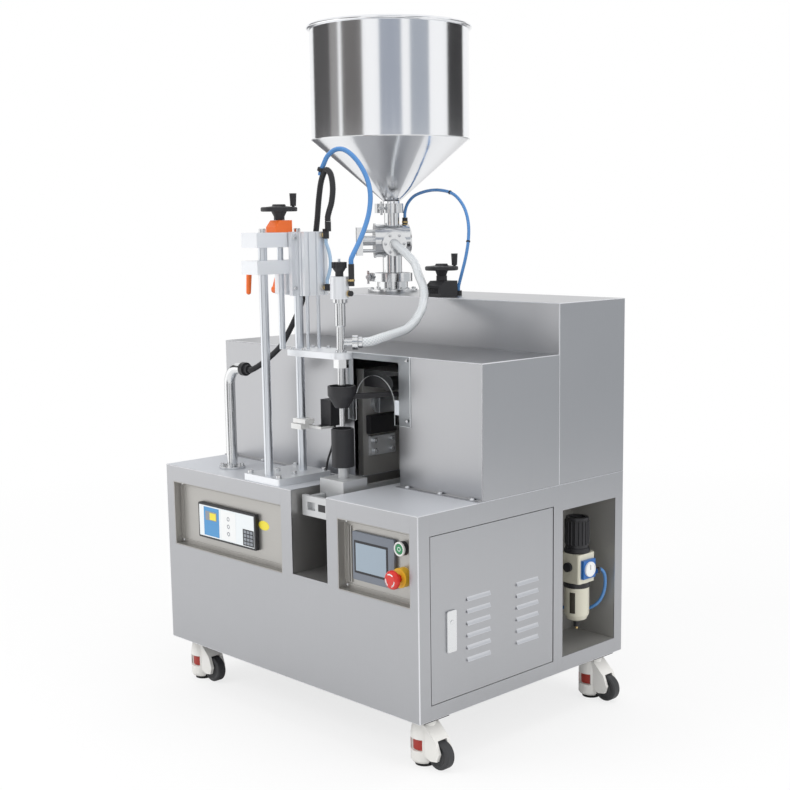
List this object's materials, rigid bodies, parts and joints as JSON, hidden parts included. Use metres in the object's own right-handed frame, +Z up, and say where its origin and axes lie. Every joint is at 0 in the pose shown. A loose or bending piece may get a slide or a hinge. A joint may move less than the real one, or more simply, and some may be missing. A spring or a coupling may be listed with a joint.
{
  "type": "tube filling machine",
  "caption": "Semi-automatic tube filling machine: hopper and dosing valve on a stainless cabinet, filling head on two columns, ultrasonic tail sealer behind a clear guard, on levelling casters.",
  "frame": {"origin": "middle of the machine's box on the floor", "axes": "+Z up, +X along the front to the right as the operator faces it, +Y to the back"},
  "size_m": [0.923, 0.798, 1.625],
  "materials": {
    "cabinet_steel": "satin brushed stainless sheet",
    "polished_steel": "polished stainless",
    "head_aluminium": "satin anodised aluminium",
    "column_steel": "ground steel",
    "black_plastic": "moulded black plastic",
    "black_metal": "black oxide and black paint",
    "orange_plastic": "moulded orange plastic",
    "green_plastic": "moulded green plastic",
    "red_plastic": "moulded red plastic",
    "panel_steel": "satin panel sheet",
    "screen_glass": "screens in dark bezels",
    "clear_acrylic": "clear acrylic sheet",
    "clear_hose": "clear braided hose",
    "blue_hose": "blue polyurethane tube",
    "ivory_plastic": "ivory plastic and cast zinc",
    "caster_white": "white powder coat",
    "wheel_nylon": "black nylon",
    "foot_rubber": "rubber pad",
    "board_grey": "grey mounting board"
  },
  "bodies": {
    "machine": {"base_cabinet": "cabinet_steel", "front_panels": "panel_steel", "mid_housing": "cabinet_steel", "rear_tower": "cabinet_steel", "display_screens": "screen_glass", "acrylic_guard": "clear_acrylic", "column_plates": "head_aluminium", "columns": "column_steel", "position_indicator": "orange_plastic", "conduit_pipe": "polished_steel", "filter_regulator": "ivory_plastic", "pump_barrel": "polished_steel", "hopper": "polished_steel", "sanitary_clamps": "polished_steel", "valve_body": "polished_steel", "stroke_gearbox": "black_metal", "slide_rails": "column_steel", "seal_frame": "black_metal", "funnel_guide": "black_plastic", "eye_sensor": "black_plastic", "caster_plates": "black_metal", "electrical_panel": "board_grey", "product_hose": "clear_hose", "conduit_hose": "black_plastic", "valve_air_hose": "blue_hose", "regulator_hose": "blue_hose", "sensor_cable": "black_plastic"},
    "lift": {"lift_carriage": "head_aluminium", "lift_cylinder": "head_aluminium", "lift_air_hose": "blue_hose", "nozzle_air_hose": "blue_hose"},
    "nozzle": {"nozzle_plate": "head_aluminium", "filling_nozzle": "polished_steel"},
    "head_handwheel": {"head_handwheel": "black_plastic"},
    "clamp_lever_front": {"clamp_lever_front": "orange_plastic"},
    "clamp_lever_rear": {"clamp_lever_rear": "orange_plastic"},
    "nozzle_knob": {"nozzle_knob": "black_plastic"},
    "tube_carriage": {"tube_carriage": "head_aluminium"},
    "tube_cup": {"tube_cup": "black_plastic"},
    "side_door": {"side_door": "cabinet_steel"},
    "door_latch": {"door_latch": "panel_steel"},
    "start_button": {"start_button": "green_plastic"},
    "estop_button": {"estop_button": "red_plastic"},
    "stroke_handwheel": {"stroke_handwheel": "black_plastic"},
    "regulator_knob": {"regulator_knob": "black_plastic"},
    "pump_piston": {"pump_piston": "column_steel"},
    "anvil_jaw": {"anvil_jaw": "column_steel"},
    "ultrasonic_horn": {"ultrasonic_horn": "column_steel"},
    "caster_fl": {"caster_fl": "caster_white"},
    "wheel_fl": {"wheel_fl": "wheel_nylon"},
    "foot_fl": {"foot_fl": "foot_rubber"},
    "caster_fr": {"caster_fr": "caster_white"},
    "wheel_fr": {"wheel_fr": "wheel_nylon"},
    "foot_fr": {"foot_fr": "foot_rubber"},
    "caster_rl": {"caster_rl": "caster_white"},
    "wheel_rl": {"wheel_rl": "wheel_nylon"},
    "foot_rl": {"foot_rl": "foot_rubber"},
    "caster_rr": {"caster_rr": "caster_white"},
    "wheel_rr": {"wheel_rr": "wheel_nylon"},
    "foot_rr": {"foot_rr": "foot_rubber"}
  },
  "joints": [
    {"name": "lift_height", "type": "slide", "parent": "machine", "child": "lift", "axis": [0, 0, 1], "range_m": [-0.025, 0.025], "deforming": ["product_hose", "conduit_hose"]},
    {"name": "head_handwheel_turn", "type": "hinge", "parent": "machine", "child": "head_handwheel", "pos_m": [-0.0795, -0.3045, 1.15], "axis": [0, 0, 1], "range_deg": [-2256, 2256]},
    {"name": "nozzle_stroke", "type": "slide", "parent": "lift", "child": "nozzle", "axis": [0, 0, 1], "range_m": [0, 0.1], "deforming": ["product_hose", "nozzle_air_hose"]},
    {"name": "clamp_lever_front_turn", "type": "hinge", "parent": "lift", "child": "clamp_lever_front", "pos_m": [-0.1165, -0.354, 1.039], "axis": [1, 0, 0], "range_deg": [-35, 35]},
    {"name": "clamp_lever_rear_turn", "type": "hinge", "parent": "lift", "child": "clamp_lever_rear", "pos_m": [-0.1165, -0.283, 0.985], "axis": [1, 0, 0], "range_deg": [-35, 35]},
    {"name": "nozzle_knob_turn", "type": "hinge", "parent": "nozzle", "child": "nozzle_knob", "pos_m": [0.0855, -0.273, 1.035], "axis": [0, 0, 1], "continuous": true},
    {"name": "tube_carriage_slide", "type": "slide", "parent": "machine", "child": "tube_carriage", "axis": [0, 1, 0], "range_m": [0, 0.165]},
    {"name": "tube_cup_turn", "type": "hinge", "parent": "tube_carriage", "child": "tube_cup", "pos_m": [0.0855, -0.273, 0.61], "axis": [0, 0, 1], "continuous": true},
    {"name": "side_door_swing", "type": "hinge", "parent": "machine", "child": "side_door", "pos_m": [0.4225, 0.039, 0.323], "axis": [0, 0, 1], "range_deg": [0, 100]},
    {"name": "door_latch_turn", "type": "hinge", "parent": "side_door", "child": "door_latch", "pos_m": [0.4285, -0.284, 0.291], "axis": [1, 0, 0], "range_deg": [0, 90]},
    {"name": "start_button_press", "type": "slide", "parent": "machine", "child": "start_button", "axis": [0, 1, 0], "range_m": [0, 0.003], "stiffness_N_per_m": 400},
    {"name": "estop_button_press", "type": "slide", "parent": "machine", "child": "estop_button", "axis": [0, 1, 0], "range_m": [0, 0.005]},
    {"name": "stroke_handwheel_turn", "type": "hinge", "parent": "machine", "child": "stroke_handwheel", "pos_m": [0.033, 0.0985, 1.016], "axis": [0, 0, 1], "continuous": true},
    {"name": "regulator_knob_turn", "type": "hinge", "parent": "machine", "child": "regulator_knob", "pos_m": [0.3785, 0.193, 0.42], "axis": [0, 0, 1], "continuous": true},
    {"name": "pump_piston_stroke", "type": "slide", "parent": "machine", "child": "pump_piston", "axis": [0, 0, 1], "range_m": [0, 0.12]},
    {"name": "anvil_close", "type": "slide", "parent": "machine", "child": "anvil_jaw", "axis": [-1, 0, 0], "range_m": [0, 0.022]},
    {"name": "horn_close", "type": "slide", "parent": "machine", "child": "ultrasonic_horn", "axis": [1, 0, 0], "range_m": [0, 0.0221]},
    {"name": "caster_swivel_fl", "type": "hinge", "parent": "machine", "child": "caster_fl", "pos_m": [-0.4155, -0.319, 0.095], "axis": [0, 0, 1], "continuous": true},
    {"name": "wheel_roll_fl", "type": "hinge", "parent": "caster_fl", "child": "wheel_fl", "pos_m": [-0.3675, -0.319, 0.0315], "axis": [0, 1, 0], "continuous": true},
    {"name": "foot_drop_fl", "type": "slide", "parent": "caster_fl", "child": "foot_fl", "axis": [0, 0, -1], "range_m": [0, 0.01]},
    {"name": "caster_swivel_fr", "type": "hinge", "parent": "machine", "child": "caster_fr", "pos_m": [0.3825, -0.319, 0.095], "axis": [0, 0, 1], "continuous": true},
    {"name": "wheel_roll_fr", "type": "hinge", "parent": "caster_fr", "child": "wheel_fr", "pos_m": [0.4305, -0.319, 0.0315], "axis": [0, 1, 0], "continuous": true},
    {"name": "foot_drop_fr", "type": "slide", "parent": "caster_fr", "child": "foot_fr", "axis": [0, 0, -1], "range_m": [0, 0.01]},
    {"name": "caster_swivel_rl", "type": "hinge", "parent": "machine", "child": "caster_rl", "pos_m": [-0.4155, 0.245, 0.095], "axis": [0, 0, 1], "continuous": true},
    {"name": "wheel_roll_rl", "type": "hinge", "parent": "caster_rl", "child": "wheel_rl", "pos_m": [-0.3675, 0.245, 0.0315], "axis": [0, 1, 0], "continuous": true},
    {"name": "foot_drop_rl", "type": "slide", "parent": "caster_rl", "child": "foot_rl", "axis": [0, 0, -1], "range_m": [0, 0.01]},
    {"name": "caster_swivel_rr", "type": "hinge", "parent": "machine", "child": "caster_rr", "pos_m": [0.3825, 0.245, 0.095], "axis": [0, 0, 1], "continuous": true},
    {"name": "wheel_roll_rr", "type": "hinge", "parent": "caster_rr", "child": "wheel_rr", "pos_m": [0.4305, 0.245, 0.0315], "axis": [0, 1, 0], "continuous": true},
    {"name": "foot_drop_rr", "type": "slide", "parent": "caster_rr", "child": "foot_rr", "axis": [0, 0, -1], "range_m": [0, 0.01]}
  ],
  "couplings": [
    {"joint": "head_handwheel_turn", "follows": "lift_height", "rad_per_m": 1570.8},
    {"joint": "horn_close", "follows": "anvil_close", "ratio": 1}
  ]
}
